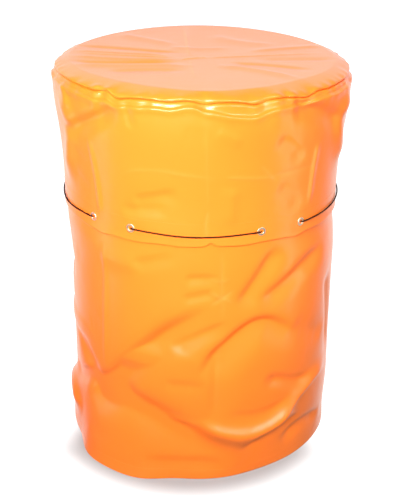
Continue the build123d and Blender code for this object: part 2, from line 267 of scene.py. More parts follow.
thread_pitch = 0.0013
cloth = bpy.data.materials.new("coated_cloth")
look = Finish(cloth)
where = look.place()
on_cloth = look.add("UVMap", uv_map="cloth").outputs["UV"]
blotch = look.noise(where, Scale=7.0, Detail=4.0)
orange = look.blend(blotch, (0.94, 0.175, 0.012, 1.0), (0.96, 0.2, 0.015, 1.0))
worn = look.add("Attribute", attribute_name="wear").outputs["Fac"]
paler = look.blend(worn, orange, (0.97, 0.36, 0.1, 1.0))
threads = [look.number("SINE", look.number("MULTIPLY", look.part(on_cloth, axis), 2 * np.pi / thread_pitch))
           for axis in ("X", "Y")]
weave = look.bump(look.number("MULTIPLY", *threads), 0.3, 0.00006)
crumple = look.noise(where, Scale=42.0, Detail=3.0, Roughness=0.5)
crumpled = look.bump(crumple, 0.35, 0.0012, weave)
look.shade(Base_Color=paler, Roughness=look.spread(blotch, 0.0, 1.0, 0.3, 0.4), IOR=1.45,
           Normal=crumpled, Coat_Weight=0.25, Coat_Roughness=0.2, Coat_Normal=crumpled)


def bell(distance, width):
    """One at no distance, falling off evenly on both sides to a third at the width."""
    return np.exp(-np.square(distance / width))


def ramp(value, start, end):
    """Nothing before the start, one past the end, and a smooth rise between them."""
    part = np.clip((value - start) / (end - start), 0.0, 1.0)
    return part * part * (3.0 - 2.0 * part)


def rounded(path):
    """The same path with its corners cut off three times, so that it runs in a smooth curve."""
    points = np.array(path, float)
    for _ in range(3):
        near = 0.75 * points[:-1] + 0.25 * points[1:]
        far = 0.25 * points[:-1] + 0.75 * points[1:]
        between = np.stack([near, far], axis=1).reshape(-1, 2)
        points = np.vstack([points[:1], between, points[-1:]])
    return points


def crease(across, up, path, height, above, below, sharp=0.0, turn=None):
    """A fold in flat cloth along a path, left of which is above and right of which is below. It stands
    out by the height on the path, and falls off as a bell, or as a tent as far as sharp says, over
    one width above and another below. It fades out at both ends of the path. turn is the length
    once round a closed piece."""
    points = rounded(path)
    middle = points[:, 0].mean()
    if turn:
        across = middle + (across - middle + turn / 2) % turn - turn / 2
    reach = 3.0 * max(above, below)
    low = points.min(axis=0) - reach
    high = points.max(axis=0) + reach
    near = (across > low[0]) & (across < high[0]) & (up > low[1]) & (up < high[1])
    x = across[near]
    y = up[near]
    nearest = np.full(x.shape, np.inf)
    along = np.zeros(x.shape)
    over = np.zeros(x.shape)
    length = 0.0
    for start, end in zip(points[:-1], points[1:]):
        step = end - start
        size = np.hypot(*step)
        if size == 0.0:
            continue
        part = np.clip(((x - start[0]) * step[0] + (y - start[1]) * step[1]) / size**2, 0.0, 1.0)
        away_x = x - start[0] - part * step[0]
        away_y = y - start[1] - part * step[1]
        distance = np.hypot(away_x, away_y)
        closer = distance < nearest
        nearest = np.where(closer, distance, nearest)
        along = np.where(closer, length + part * size, along)
        side = (step[0] * away_y - step[1] * away_x) / (size * np.maximum(distance, 0.0001))
        over = np.where(closer, side, over)
        length += size
    width = 0.5 * (above + below) + 0.5 * (above - below) * over
    run = along / length
    fade = ramp(run, 0.0, 0.22) * (1.0 - ramp(run, 0.7, 1.0))
    across_fold = nearest / width
    soft = np.exp(-(across_fold**2))
    tent = np.exp(-1.6 * across_fold)
    relief = np.zeros(across.shape)
    relief[near] = height * fade * ((1.0 - sharp) * soft + sharp * tent)
    return relief


def small_folds(angle, height, low, high, seed, count, depth):
    """Many short slanting folds at places drawn from a seeded sequence, added up."""
    draw = np.random.default_rng(seed)
    total = np.zeros(angle.shape)
    for _ in range(count):
        middle = draw.uniform(-180.0, 180.0)
        level = draw.uniform(low, high)
        half = draw.uniform(4.0, 11.0)
        rise = draw.normal(0.0, 0.03)
        bow = draw.normal(0.0, 0.006)
        path = [(middle - half, level - rise), (middle, level + bow), (middle + half, level + rise)]
        size = depth * draw.uniform(-1.0, 1.0)
        width = draw.uniform(0.009, 0.018)
        total += ring_crease(angle, height, path, size, width, 1.6 * width)
    return total


fold_radius = 0.3


def ring_crease(angle, height, path, depth, above, below, sharp=0.0):
    """A crease in a ring of cloth, on a path of angles in degrees and heights in metres."""
    flat = [(np.radians(around) * fold_radius, up) for around, up in path]
    turn = 2 * np.pi * fold_radius
    return crease(np.radians(angle) * fold_radius, height, flat, depth, above, below, sharp, turn)


sleeve_low, sleeve_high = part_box("sleeve_panel")
sleeve_top = sleeve_high[2]
sleeve_body = 0.3012

# Folds of the sleeve: a path of (degrees from the front, height in metres), how far the cloth stands
# out along it, and how wide the fold is on the path's left and on its right.
sleeve_folds = [
    ([(-55, 0.12), (-44, 0.19), (-34, 0.248), (-24, 0.305), (-14, 0.36), (-5, 0.397), (7, 0.434)],
     -0.018, 0.019, 0.042),
    ([(-12, 0.325), (-2, 0.36), (7, 0.385), (13, 0.4)], -0.0049, 0.010, 0.022),
    ([(1, 0.262), (6, 0.318), (12, 0.347), (18, 0.374), (24, 0.388), (30, 0.383), (37, 0.357),
      (45, 0.325)], -0.0135, 0.013, 0.04),
    ([(7.5, 0.335), (6.6, 0.26), (6.8, 0.155)], -0.0037, 0.03, 0.009),
    ([(-14, 0.243), (-4, 0.247), (3, 0.24)], -0.0028, 0.012, 0.018),
    ([(-60, 0.19), (-45, 0.186), (-34, 0.182), (-24, 0.172), (-16, 0.156), (-8, 0.132), (0, 0.11),
      (9, 0.096), (20, 0.088)], -0.0165, 0.028, 0.055),
    ([(-14, 0.158), (-6, 0.15), (2, 0.143)], 0.0031, 0.009, 0.010),
    ([(-24, 0.036), (-6, 0.042), (14, 0.038)], -0.0054, 0.014, 0.022),
    ([(-2, 0.152), (6, 0.134), (13, 0.12), (21, 0.111), (30, 0.115), (39, 0.132), (49, 0.155)],
     0.0178, 0.017, 0.03),
    ([(12, 0.174), (22, 0.158), (32, 0.159), (43, 0.174)], -0.0026, 0.010, 0.014),
    ([(32, 0.122), (42, 0.15), (50, 0.173), (60, 0.19), (74, 0.186)], 0.0078, 0.020, 0.010),
    ([(18, 0.07), (29, 0.098), (40, 0.108), (52, 0.104)], -0.0078, 0.010, 0.018),
    ([(38, 0.058), (48, 0.078), (58, 0.075), (72, 0.052)], -0.0078, 0.012, 0.022),
    ([(27, 0.246), (36, 0.232), (44, 0.212), (56, 0.193)], -0.0062, 0.013, 0.018),
    ([(40, 0.362), (52, 0.318), (66, 0.288)], -0.0045, 0.026, 0.032),
    ([(15, 0.425), (22, 0.476), (27, 0.512), (34, 0.572)], -0.0085, 0.014, 0.026),
    ([(23, 0.428), (36, 0.463), (47, 0.497), (62, 0.513)], -0.0085, 0.016, 0.026),
    ([(-46, 0.515), (-34, 0.51), (-20, 0.514)], 0.0026, 0.018, 0.02),
    ([(-28, 0.512), (-18, 0.533), (-8, 0.556)], -0.0037, 0.013, 0.018),
    ([(-7, 0.45), (0, 0.46), (7, 0.467)], -0.003, 0.009, 0.012),
    ([(-6, 0.496), (1, 0.501), (8, 0.496)], -0.0031, 0.008, 0.012),
    ([(-41.8, 0.565), (-42.4, 0.4), (-43.4, 0.21)], 0.0025, 0.010, 0.006),
    ([(-46, 0.206), (-56, 0.188), (-68, 0.158), (-84, 0.15)], -0.0124, 0.022, 0.016),
    ([(-46, 0.206), (-58, 0.238), (-72, 0.296), (-90, 0.31)], -0.0109, 0.024, 0.018),
    ([(66, 0.44), (72, 0.36), (76, 0.27), (72, 0.2)], -0.0093, 0.024, 0.018),
    ([(100, 0.5), (112, 0.43), (128, 0.38), (146, 0.37)], -0.0124, 0.036, 0.014),
    ([(96, 0.26), (114, 0.22), (134, 0.15), (148, 0.08)], -0.0147, 0.045, 0.02),
    ([(150, 0.3), (164, 0.25), (178, 0.18), (192, 0.14)], -0.0124, 0.04, 0.016),
    ([(196, 0.48), (210, 0.42), (226, 0.38), (240, 0.39)], -0.0124, 0.036, 0.014),
    ([(204, 0.22), (222, 0.2), (240, 0.14), (252, 0.07)], -0.0147, 0.045, 0.02),
    ([(160, 0.52), (172, 0.47), (186, 0.45)], -0.0093, 0.03, 0.014),
    ([(250, 0.5), (262, 0.44), (276, 0.41), (290, 0.42)], -0.0101, 0.034, 0.014),
    ([(262, 0.09), (280, 0.11), (298, 0.07)], 0.0124, 0.016, 0.028),
    ([(120, 0.1), (136, 0.09), (152, 0.13)], 0.0163, 0.016, 0.03),
    ([(208, 0.1), (222, 0.08), (236, 0.11)], 0.0139, 0.016, 0.028),
]
# Sharp creases left by packing: upright, and small crossed dents along it.
packing_creases = [
    ([(8.4, 0.575), (8.9, 0.48), (9.3, 0.385)], -0.001, 0.0038),
    ([(9.6, 0.38), (8.2, 0.3), (7.6, 0.2), (7.8, 0.15)], 0.0006, 0.004),
    ([(3.6, 0.47), (9, 0.455), (14.4, 0.44)], 0.0016, 0.004),
    ([(4.0, 0.438), (9, 0.455), (14.2, 0.472)], -0.0016, 0.004),
    ([(3, 0.50), (9, 0.49), (13, 0.50)], 0.001, 0.004),
    ([(98, 0.56), (98.6, 0.3), (98, 0.1)], 0.0008, 0.004),
    ([(188, 0.56), (188.5, 0.3), (188, 0.1)], 0.0008, 0.004),
    ([(-82, 0.56), (-81.5, 0.3), (-82, 0.1)], 0.0008, 0.004),
]
# What the cloth stands round: the shell, its hoops and its foot chime.
shell_radius = 0.2872
hoop_rise = 0.0102
hoop_heights = (0.296, 0.584)
chime_rise = 0.0056
least_room = 0.0012
# The foot's spread on the floor, as (how far out, degrees from the front, width in degrees).
foot_bells = [(-0.007, 29.0, 17.0), (0.006, 92.0, 26.0), (0.002, -86.0, 20.0)]


def bells(angle, rows):
    """Bells round the drum, added up. A row is (size, middle in degrees, width in degrees)."""
    return sum(size * bell(angle - middle, width) for size, middle, width in rows)


def drum_outline(height):
    """The drum's radius at a height: the plain shell, its two hoops, and the chime at its foot."""
    radius = np.full(height.shape, shell_radius)
    for hoop in hoop_heights:
        radius = radius + hoop_rise * (1.0 - ramp(np.abs(height - hoop), 0.007, 0.05))
    return radius + chime_rise * (1.0 - ramp(height, 0.016, 0.022))


def folded(angle, height, folds, creases):
    """The soft folds and the sharp creases of a ring of cloth, added up."""
    total = np.zeros(angle.shape)
    for path, depth, above, below in folds:
        total += ring_crease(angle, height, path, depth, above, below)
    for path, depth, width in creases:
        total += ring_crease(angle, height, path, depth, width, width, 1.0)
    return total


def rubbed_pale(angle, height, creases, full, share):
    """How far the coating is rubbed pale along sharp creases: up to the share, reached where they stand
    out by the full depth."""
    total = np.zeros(angle.shape)
    for path, depth, width in creases:
        total += ring_crease(angle, height, path, abs(depth), width, width, 1.0)
    return np.clip(total / full, 0.0, 1.0) * share


def sleeve_surface(angle, height):
    """The sleeve's radius at an angle and height: the body, plus the foot's spread, plus the folds, and
    never less than the drum's own outline with a little room."""
    turned_out = 0.031 * np.exp(-np.power(np.abs(angle + 37.0) / 22.0, 4))
    back_waves = 0.009 * ramp(np.abs(angle), 100.0, 130.0) * (1.0 + np.sin(np.radians(7 * angle))) * 0.5
    foot = (turned_out + bells(angle, foot_bells) + back_waves) * np.exp(-height / 0.07)
    spread = 0.003 * (1.0 - ramp(height, 0.0, 0.24)) * ramp(np.abs(angle), 50.0, 80.0)
    upright = ramp(height, 0.02, 0.16) * (1.0 - ramp(height, 0.46, 0.57))
    lean = 0.0075 * np.sin(np.radians(angle)) * upright
    folds = folded(angle, height, sleeve_folds, packing_creases)
    folds += small_folds(angle, height, 0.04, 0.53, 7, 44, 0.001)
    billow = 0.0016 * np.sin(np.radians(5 * angle + 30.0)) * np.sin(9.0 * height + 0.6)
    front = 0.0085 * bell(angle, 42.0) * bell(height - 0.3, 0.13)
    covered = ramp(height, 0.52, 0.566)
    loose = (spread + lean + foot + folds + billow + front + least_room) * (1.0 - covered)
    radius = sleeve_body - 0.0006 * covered + loose
    room = drum_outline(height) + least_room
    return 0.5 * (radius + room + np.sqrt(np.square(radius - room) + 0.000004))


def smooth_mesh(name, places, loops, sizes):
    """A mesh of smooth faces, from its points, every face's points in turn, and each face's count."""
    mesh = bpy.data.meshes.new(name)
    mesh.vertices.add(len(places))
    mesh.vertices.foreach_set("co", places.astype(np.float32).reshape(-1))
    mesh.loops.add(len(loops))
    mesh.loops.foreach_set("vertex_index", loops.astype(np.int32))
    mesh.polygons.add(len(sizes))
    mesh.polygons.foreach_set("loop_start", (np.cumsum(sizes) - sizes).astype(np.int32))
    mesh.polygons.foreach_set("use_smooth", np.ones(len(sizes), bool))
    mesh.update(calc_edges=True)
    return mesh


def grid_surface(name, points, flat, closed=False, pole=False, wear=None):
    """A surface of four-sided faces through a grid of points: rows go up the piece and columns go
    round it. closed joins the last column to the first, and pole closes the last row on its
    middle. flat is each point's place on the cut cloth, one column longer when closed."""
    rows, columns = points.shape[:2]
    row, column = np.meshgrid(np.arange(rows - 1), np.arange(columns - (not closed)), indexing="ij")
    after = (column + 1) % columns
    corners = np.stack([row * columns + column, row * columns + after,
                        (row + 1) * columns + after, (row + 1) * columns + column], axis=-1)
    corners = corners.reshape(-1, 4)
    flat_corners = np.stack([flat[row, column], flat[row, column + 1],
                             flat[row + 1, column + 1], flat[row + 1, column]], axis=2)
    places = points.reshape(-1, 3)
    loops = corners.reshape(-1)
    loop_flat = flat_corners.reshape(-1, 2)
    sizes = np.full(len(corners), 4)
    if pole:
        places = np.vstack([places, points[-1].mean(axis=0)])
        last = (rows - 1) * columns + np.arange(columns)
        fan = np.stack([last, np.roll(last, -1), np.full(columns, rows * columns)], axis=-1)
        loops = np.concatenate([loops, fan.reshape(-1)])
        fan_flat = np.stack([flat[-1, :-1], flat[-1, 1:], 0.5 * (flat[-1, :-1] + flat[-1, 1:])], axis=1)
        loop_flat = np.vstack([loop_flat, fan_flat.reshape(-1, 2)])
        sizes = np.concatenate([sizes, np.full(columns, 3)])
    mesh = smooth_mesh(name, places, loops, sizes)
    layer = mesh.uv_layers.new(name="cloth")
    layer.data.foreach_set("uv", loop_flat.astype(np.float32).reshape(-1))
    if wear is not None:
        worn_places = wear.reshape(-1)
        if pole:
            worn_places = np.append(worn_places, 0.0)
        attribute = mesh.attributes.new("wear", "FLOAT", "POINT")
        attribute.data.foreach_set("value", worn_places.astype(np.float32))
    mesh.validate()
    piece = bpy.data.objects.new(name, mesh)
    bpy.context.collection.objects.link(piece)
    return piece


def ring_points(angle, radius, height):
    """Points at angles from the front, radii from the axis and heights."""
    turn = np.radians(angle)
    return np.stack([radius * np.sin(turn), -radius * np.cos(turn), height], axis=-1)


def around(columns):
    """Angles once round the drum, closer together at the front than at the back."""
    even = np.arange(columns + 1) / columns * 2 * np.pi - np.pi
    return np.degrees(even - 0.3 * np.sin(even))


# The sleeve's rows go up the turned-in foot hem, round its fold, up the outside, round the top fold
# and down the top hem.
sleeve_columns = 400
sleeve_rows = 208
hem_rows = 6
sleeve_hem = 0.025
hem_layer = 0.0011
fold_inset = hem_layer * np.array([0.8, 0.35])
sleeve_angles = around(sleeve_columns)
outer_rows = np.linspace(0.0006, sleeve_top - 0.0006, sleeve_rows)
low_inside = np.linspace(sleeve_hem, 0.0022, hem_rows)
high_inside = np.linspace(sleeve_top - 0.0022, sleeve_top - sleeve_hem, hem_rows)
row_heights = np.concatenate([low_inside, [0.0008, 0.0], outer_rows,
                              [sleeve_top, sleeve_top - 0.0008], high_inside])
row_inset = np.concatenate([np.full(hem_rows, hem_layer), fold_inset, np.zeros(sleeve_rows),
                            fold_inset[::-1], np.full(hem_rows, hem_layer)])
row_along = np.concatenate([-low_inside, [-0.0005, 0.0], outer_rows,
                            [sleeve_top, sleeve_top + 0.0005], 2 * sleeve_top - high_inside])
angle_grid, height_grid = np.meshgrid(sleeve_angles[:-1], row_heights)
radius_grid = sleeve_surface(angle_grid, height_grid) - row_inset[:, None]
sleeve_flat = np.stack(np.meshgrid(np.radians(sleeve_angles) * sleeve_body, row_along), axis=-1)
sleeve = grid_surface("sleeve_cloth", ring_points(angle_grid, radius_grid, height_grid), sleeve_flat,
                      closed=True, wear=rubbed_pale(angle_grid, height_grid, packing_creases, 0.0016, 0.16))
sleeve.data.materials.append(cloth)
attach(sleeve, "sleeve")
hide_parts("sleeve_panel", "sleeve_bottom_hem", "sleeve_top_hem")

# Seam tapes. A 30 mm strip of the same coated cloth is welded over each upright joint on the inside,
# at the back of the drum.

tape_half = 0.015
tape_gap = 0.00035


def seam_tape(name, surface, low, high, body):
    """A strip inside a ring of cloth at the back, that follows the cloth a hair inside it."""
    half_angle = np.degrees(tape_half / fold_radius)
    angles = np.linspace(180.0 - half_angle, 180.0 + half_angle, 9)
    heights = np.linspace(low, high, 90)
    angle, height = np.meshgrid(angles, heights)
    wrapped = (angle + 180.0) % 360.0 - 180.0
    radius = surface(wrapped, height) - tape_gap
    flat = np.stack(np.meshgrid(np.radians(angles) * fold_radius, heights), axis=-1)
    piece = grid_surface(name, ring_points(angle, radius, height), flat)
    piece.data.materials.append(cloth)
    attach(piece, body)
    return piece


tape_low, tape_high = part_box("sleeve_seam_tape")
sleeve_tape = seam_tape("sleeve_tape", sleeve_surface, tape_low[2], tape_high[2], "sleeve")
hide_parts("sleeve_seam_tape")

# Cap. A round top and a deep skirt of the same coated cloth, sewn together face to face and turned,
# so that the seam sinks between two puffed rolls. It is cut larger than the drum, so the edge
# gathers into tucks. The skirt's hem is doubled, and carries ten brass grommets.

skirt_low, skirt_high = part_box("cap_skirt")
hem_height = skirt_low[2]
skirt_body = 0.3053
seam_height = 0.8684
seam_radius = 0.3072
grommet_low, grommet_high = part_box("grommet_1")
lace_height = 0.5 * (grommet_low[2] + grommet_high[2])
# Where the grommets stand, in degrees from the front, pair by pair.
lace_angles = np.array([-46.3, -27.4, 24.0, 42.9, 96.425, 115.325, 168.85, 187.75, 241.275, 260.175])

# Folds of the skirt, and its sharp packing creases, given as the sleeve's are.
skirt_folds = [
    ([(-64, 0.755), (-54, 0.784), (-46, 0.804), (-38, 0.825), (-29, 0.85)], -0.0105, 0.013, 0.022),
    ([(31, 0.858), (42, 0.84), (50, 0.824), (58, 0.806), (72, 0.778)], -0.0115, 0.014, 0.026),
    ([(28, 0.794), (35, 0.772), (42, 0.732)], -0.0032, 0.011, 0.018),
    ([(49, 0.77), (48, 0.7), (47.5, 0.615)], 0.003, 0.008, 0.006),
    ([(-46.5, 0.78), (-43.5, 0.7), (-42, 0.58)], 0.003, 0.008, 0.005),
    ([(-27, 0.656), (-18, 0.67), (-7, 0.686)], -0.0038, 0.011, 0.02),
    ([(-32, 0.634), (-22, 0.641), (-10, 0.652)], -0.003, 0.010, 0.016),
    ([(-27.5, 0.866), (-26.5, 0.84), (-25, 0.806)], -0.0025, 0.010, 0.006),
    ([(5, 0.818), (10, 0.805), (15, 0.788)], 0.0018, 0.008, 0.014),
    ([(-63, 0.864), (-58, 0.835), (-57, 0.812)], 0.0038, 0.008, 0.012),
    ([(-68, 0.85), (-56, 0.79), (-60, 0.745), (-63, 0.7), (-69, 0.635)], 0.0086, 0.024, 0.024),
    ([(73, 0.855), (64, 0.8), (65, 0.765), (69, 0.725), (75, 0.675)], 0.0086, 0.024, 0.024),
    ([(12, 0.7), (11.5, 0.66), (12, 0.61)], 0.0022, 0.012, 0.02),
    ([(30, 0.69), (38, 0.665), (42, 0.62)], -0.0022, 0.014, 0.02),
    ([(100, 0.85), (110, 0.81), (124, 0.78)], -0.01, 0.013, 0.022),
    ([(140, 0.85), (134, 0.8), (122, 0.74)], -0.009, 0.022, 0.013),
    ([(160, 0.85), (172, 0.82), (186, 0.8)], -0.01, 0.013, 0.022),
    ([(214, 0.85), (206, 0.8), (196, 0.75)], -0.009, 0.022, 0.013),
    ([(232, 0.85), (242, 0.81), (256, 0.78)], -0.01, 0.013, 0.022),
    ([(276, 0.85), (268, 0.8), (258, 0.74)], -0.009, 0.022, 0.013),
    ([(98, 0.62), (112, 0.66), (128, 0.7)], -0.0044, 0.012, 0.02),
    ([(200, 0.7), (214, 0.66), (228, 0.62)], -0.0044, 0.012, 0.02),
]
skirt_creases = [
    ([(-32, 0.708), (-26, 0.724), (-15, 0.73), (-2, 0.72), (10, 0.72)], 0.0009, 0.004),
    ([(8, 0.721), (17, 0.716), (26, 0.711), (30, 0.708)], 0.0012, 0.004),
    ([(22, 0.742), (27, 0.716), (30, 0.698)], -0.001, 0.004),
    ([(26, 0.713), (38, 0.716), (52, 0.714)], -0.0009, 0.004),
    ([(1.6, 0.83), (2.4, 0.72), (3.0, 0.64)], 0.0006, 0.0038),
    ([(3.0, 0.652), (2.0, 0.622), (2.8, 0.585)], -0.0016, 0.0034),
    ([(92, 0.83), (92.4, 0.72), (92.8, 0.6)], 0.0007, 0.004),
    ([(182, 0.83), (182.4, 0.72), (182.8, 0.6)], 0.0007, 0.004),
    ([(-88, 0.83), (-87.6, 0.72), (-87.2, 0.6)], 0.0007, 0.004),
]
# Tucks in the cap's edge, as (degrees from the front, size).
tucks = [(-76, 0.8), (-38, 1.0), (-8, 0.3), (1, 0.9), (23, 1.0), (47, 0.4), (78, 0.9), (104, 0.7),
         (131, 1.0), (158, 0.6), (183, 0.9), (209, 0.7), (236, 1.0), (262, 0.6)]
# Rises and dips of the seam, and of the step below it, as (size, degrees from the front, width).
seam_bells = [(0.005, -66.0, 14.0), (0.0035, -36.5, 3.0), (-0.0045, -31.0, 3.2), (0.003, -5.0, 4.0),
              (-0.0035, 1.0, 2.5), (-0.0065, 19.5, 4.5), (0.002, 28.0, 4.0), (-0.006, 41.0, 4.5)]
ledge_bells = [(0.011, 12.5, 8.0), (0.0045, 26.0, 9.0), (-0.005, -4.0, 7.0), (0.003, -38.0, 5.0)]


def tuck_pull(angle, width):
    """The tucks added up round the edge, each a narrow bell."""
    total = np.zeros(angle.shape)
    for middle, size in tucks:
        away = (angle - middle + 180.0) % 360.0 - 180.0
        total += size * bell(away, width)
    return total


def gathers(angle, seed, first, last):
    """Uneven small waves round the edge: sines with seeded phases, added up and brought to one."""
    draw = np.random.default_rng(seed)
    total = np.zeros(angle.shape)
    counts = range(first, last, 5)
    for count in counts:
        total += np.sin(np.radians(count * angle) + draw.uniform(0.0, 6.28)) * draw.uniform(0.4, 1.0)
    return total / np.sqrt(len(counts))


def seam_line(angle):
    """The height of the sewn seam: nearly level, kinked up on one side of a tuck and down on the
    other."""
    behind = ramp(np.abs(angle), 55.0, 75.0)
    uneven = (0.0012 + 0.001 * behind) * gathers(angle, 3, 7, 30)
    return seam_height + bells(angle, seam_bells) + uneven - 0.005 * behind * tuck_pull(angle, 3.2)


def ledge_line(angle):
    """How far below the seam the skirt steps out over the turned-down edges inside it."""
    return 0.0125 + bells(angle, ledge_bells) + 0.0012 * gathers(angle, 9, 11, 40)


def hem_line(angle):
    """The height of the skirt's lower edge: gently wavy, with a turned-up nick near the front."""
    wave = 0.0012 * np.sin(np.radians(4 * angle + 20.0)) + 0.001 * np.sin(np.radians(17 * angle))
    pulled_down = 0.004 * bell(np.abs(angle) - 41.0, 4.0)
    return hem_height + 0.0028 + wave - pulled_down + 0.0075 * bell(angle - 4.2, 1.5)


def skirt_surface(angle, height):
    """The skirt's radius at an angle and height. It hangs straight by the hem, swells towards the seam,
    carries the folds and gathers, and turns in sharply at the seam."""
    below_seam = np.maximum(seam_line(angle) - height, 0.0)
    above_hem = np.maximum(height - hem_line(angle), 0.0)
    swell = 0.0105 * ramp(height, 0.63, 0.83) + 0.0035 * ramp(height, 0.74, 0.84)
    sides = 0.0025 * bell(np.abs(angle) - 82.0, 26.0) * ramp(height, 0.7, 0.83)
    gathered = 0.0017 * gathers(angle, 5, 22, 80) * np.exp(-below_seam / 0.022)
    pulled = -0.0062 * tuck_pull(angle, 3.4) * np.exp(-below_seam / 0.02)
    ledge = ledge_line(angle)
    step_out = ramp(below_seam, ledge - 0.0035, ledge + 0.0025) - 1.0
    roll = 0.0048 * step_out + 0.002 * bell(below_seam - ledge - 0.004, 0.008)
    curled = 0.0022 * np.exp(-above_hem / 0.011) - 0.0028 * np.exp(-above_hem / 0.0013)
    folds = folded(angle, height, skirt_folds, skirt_creases)
    folds += small_folds(angle, height, 0.64, 0.84, 11, 30, 0.001)
    wavy = 0.0007 * np.sin(np.radians(7 * angle))
    free = 1.0 - bell(height - lace_height, 0.02)
    body = skirt_body + swell + sides + roll + gathered + pulled + curled + (wavy + folds) * free
    into_seam = np.clip(below_seam / 0.0065, 0.0, 1.0)
    turned = np.sqrt(1.0 - np.square(1.0 - into_seam))
    return seam_radius + (body - seam_radius) * turned


# The skirt's rows go up the inside of the hem, round its fold, up the outside to the seam, and down
# the seam allowance.
cap_columns = 480
cap_hem = 0.052
seam_allowance = 0.01
cap_drop = 0.301
cap_angles = around(cap_columns)
cap_round = cap_angles[:-1][None, :]
edge_rows = np.array([0.0012, 0.003, 0.0055, 0.0085])
fine_rows = 1.0 - 0.12 * np.linspace(1.0, 0.0, 40)[1:] ** 1.5
share = np.concatenate([edge_rows, np.linspace(0.0125, 0.88, 76), fine_rows])
inside_share = np.linspace(1.0, 0.04, 14)
hem_edge = hem_line(cap_round)
seam_edge = seam_line(cap_round)
hem_heights = hem_edge + np.concatenate([inside_share * cap_hem, [0.0005, 0.0]])[:, None]
cloth_heights = np.vstack([hem_heights, hem_edge + share[:, None] * (seam_edge - hem_edge)])
cloth_inset = np.concatenate([np.full(len(inside_share), hem_layer), fold_inset, np.zeros(len(share))])
cloth_round = np.broadcast_to(cap_round, cloth_heights.shape)
cloth_radii = skirt_surface(cloth_round, cloth_heights) - cloth_inset[:, None]
tucked_heights = seam_edge - np.array([0.0015, 0.005, seam_allowance])[:, None]
tucked_radii = seam_radius - np.array([0.0009, 0.0012, 0.0012])[:, None] + 0.0 * seam_edge
skirt_heights = np.vstack([cloth_heights, tucked_heights])
skirt_radii = np.vstack([cloth_radii, tucked_radii])
skirt_round = np.broadcast_to(cap_round, skirt_heights.shape)
skirt_along = np.concatenate([-inside_share * cap_hem, [-0.0005, 0.0], share * cap_drop,
                              cap_drop + np.array([0.0015, 0.005, seam_allowance])])
skirt_flat = np.stack(np.meshgrid(np.radians(cap_angles) * skirt_body, skirt_along), axis=-1)
skirt = grid_surface("cap_skirt_cloth", ring_points(skirt_round, skirt_radii, skirt_heights), skirt_flat,
                     closed=True, wear=rubbed_pale(skirt_round, skirt_heights, skirt_creases, 0.0014, 0.14))
skirt.data.materials.append(cloth)
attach(skirt, "cap")
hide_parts("cap_skirt", "cap_hem_layer")

tape_low, tape_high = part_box("cap_seam_tape")
cap_tape = seam_tape("cap_tape", skirt_surface, tape_low[2], tape_high[2], "cap")
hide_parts("cap_seam_tape")

# Cap top. The round panel lies over the chime and turns down to the seam in a soft roll. It sags a
# little inside the chime, and keeps the cross of its packing creases and fans of fine wrinkles.

top_height = 0.8872
roll_rise = 0.0042
top_creases = [
    ([(-0.026, -0.019), (-0.034, 0.12), (-0.044, 0.29)], 0.0023, 0.005),
    ([(-0.026, -0.019), (-0.02, -0.1), (-0.012, -0.2)], 0.0012, 0.005),
    ([(-0.28, 0.012), (-0.15, -0.004), (-0.026, -0.019)], 0.0018, 0.005),
    ([(-0.026, -0.019), (0.12, 0.012), (0.285, 0.046)], 0.0018, 0.005),
    ([(-0.05, -0.035), (-0.02, -0.018), (0.02, 0.0)], 0.0022, 0.006),
]
top_wrinkles = [
    ([(-0.29, 0.075), (-0.2, 0.07), (-0.1, 0.045), (-0.02, 0.03)], -0.0029, 0.008),
    ([(-0.292, 0.035), (-0.21, 0.02), (-0.12, 0.012), (-0.05, -0.004)], 0.0032, 0.007),
    ([(-0.295, -0.01), (-0.2, -0.036), (-0.11, -0.035), (-0.03, -0.022)], 0.0033, 0.007),
    ([(-0.29, -0.055), (-0.22, -0.07), (-0.12, -0.06), (-0.03, -0.05)], -0.0032, 0.008),
    ([(-0.28, -0.09), (-0.2, -0.1), (-0.08, -0.082), (0.0, -0.085)], 0.0032, 0.009),
    ([(-0.2, -0.15), (-0.12, -0.125), (-0.02, -0.125)], -0.0027, 0.01),
    ([(0.02, -0.075), (0.09, -0.1), (0.16, -0.15), (0.2, -0.2)], 0.0029, 0.01),
    ([(0.05, -0.055), (0.14, -0.07), (0.24, -0.12)], -0.0027, 0.009),
    ([(0.29, -0.02), (0.2, -0.02), (0.1, -0.025)], -0.0025, 0.009),
    ([(0.28, 0.11), (0.19, 0.085), (0.09, 0.05)], 0.0025, 0.01),
    ([(-0.2, 0.2), (-0.12, 0.15), (-0.05, 0.1)], 0.0027, 0.012),
    ([(0.02, 0.2), (0.08, 0.14), (0.18, 0.11)], 0.0025, 0.014),
    ([(-0.08, 0.09), (-0.02, 0.07), (0.07, 0.085)], 0.002, 0.01),
]

def top_relief(x, y):
    """The height of the packing creases and wrinkles at a place on the round panel."""
    total = np.zeros(x.shape)
    for path, depth, width in top_creases:
        total += crease(x, y, path, depth, width, width, 1.0)
    for path, depth, width in top_wrinkles:
        total += crease(x, y, path, depth, width, 1.7 * width)
    return total


# The panel's rows go up the seam allowance, out under the roll, over it, and in to the middle.
top_rows = 52
roll_rows = 34
under_rows = 10
quarter = 0.5 * np.pi
tucked = tuck_pull(cap_round, 3.4)
waves = gathers(cap_round, 5, 22, 80)
backward = ramp(np.abs(cap_round), 60.0, 120.0)
flat_bells = [(-0.009, -38.0, 22.0), (-0.011, 45.0, 18.0), (0.008, 2.0, 12.0)]
flat_radius = 0.284 + 0.006 * backward + bells(cap_round, flat_bells)
at_sides = bell(np.abs(cap_round) - 80.0, 22.0)
roll_radius = 0.3142 + 0.0022 * at_sides + 0.0009 * waves - 0.0042 * tucked
roll_height = seam_edge + roll_rise + 0.0012 * tucked
under_turn = np.linspace(0.0, quarter, under_rows, endpoint=False)[:, None]
under_radii = seam_radius + (roll_radius - seam_radius) * np.sin(under_turn)
under_heights = seam_edge + (roll_height - seam_edge) * (1.0 - np.cos(under_turn))
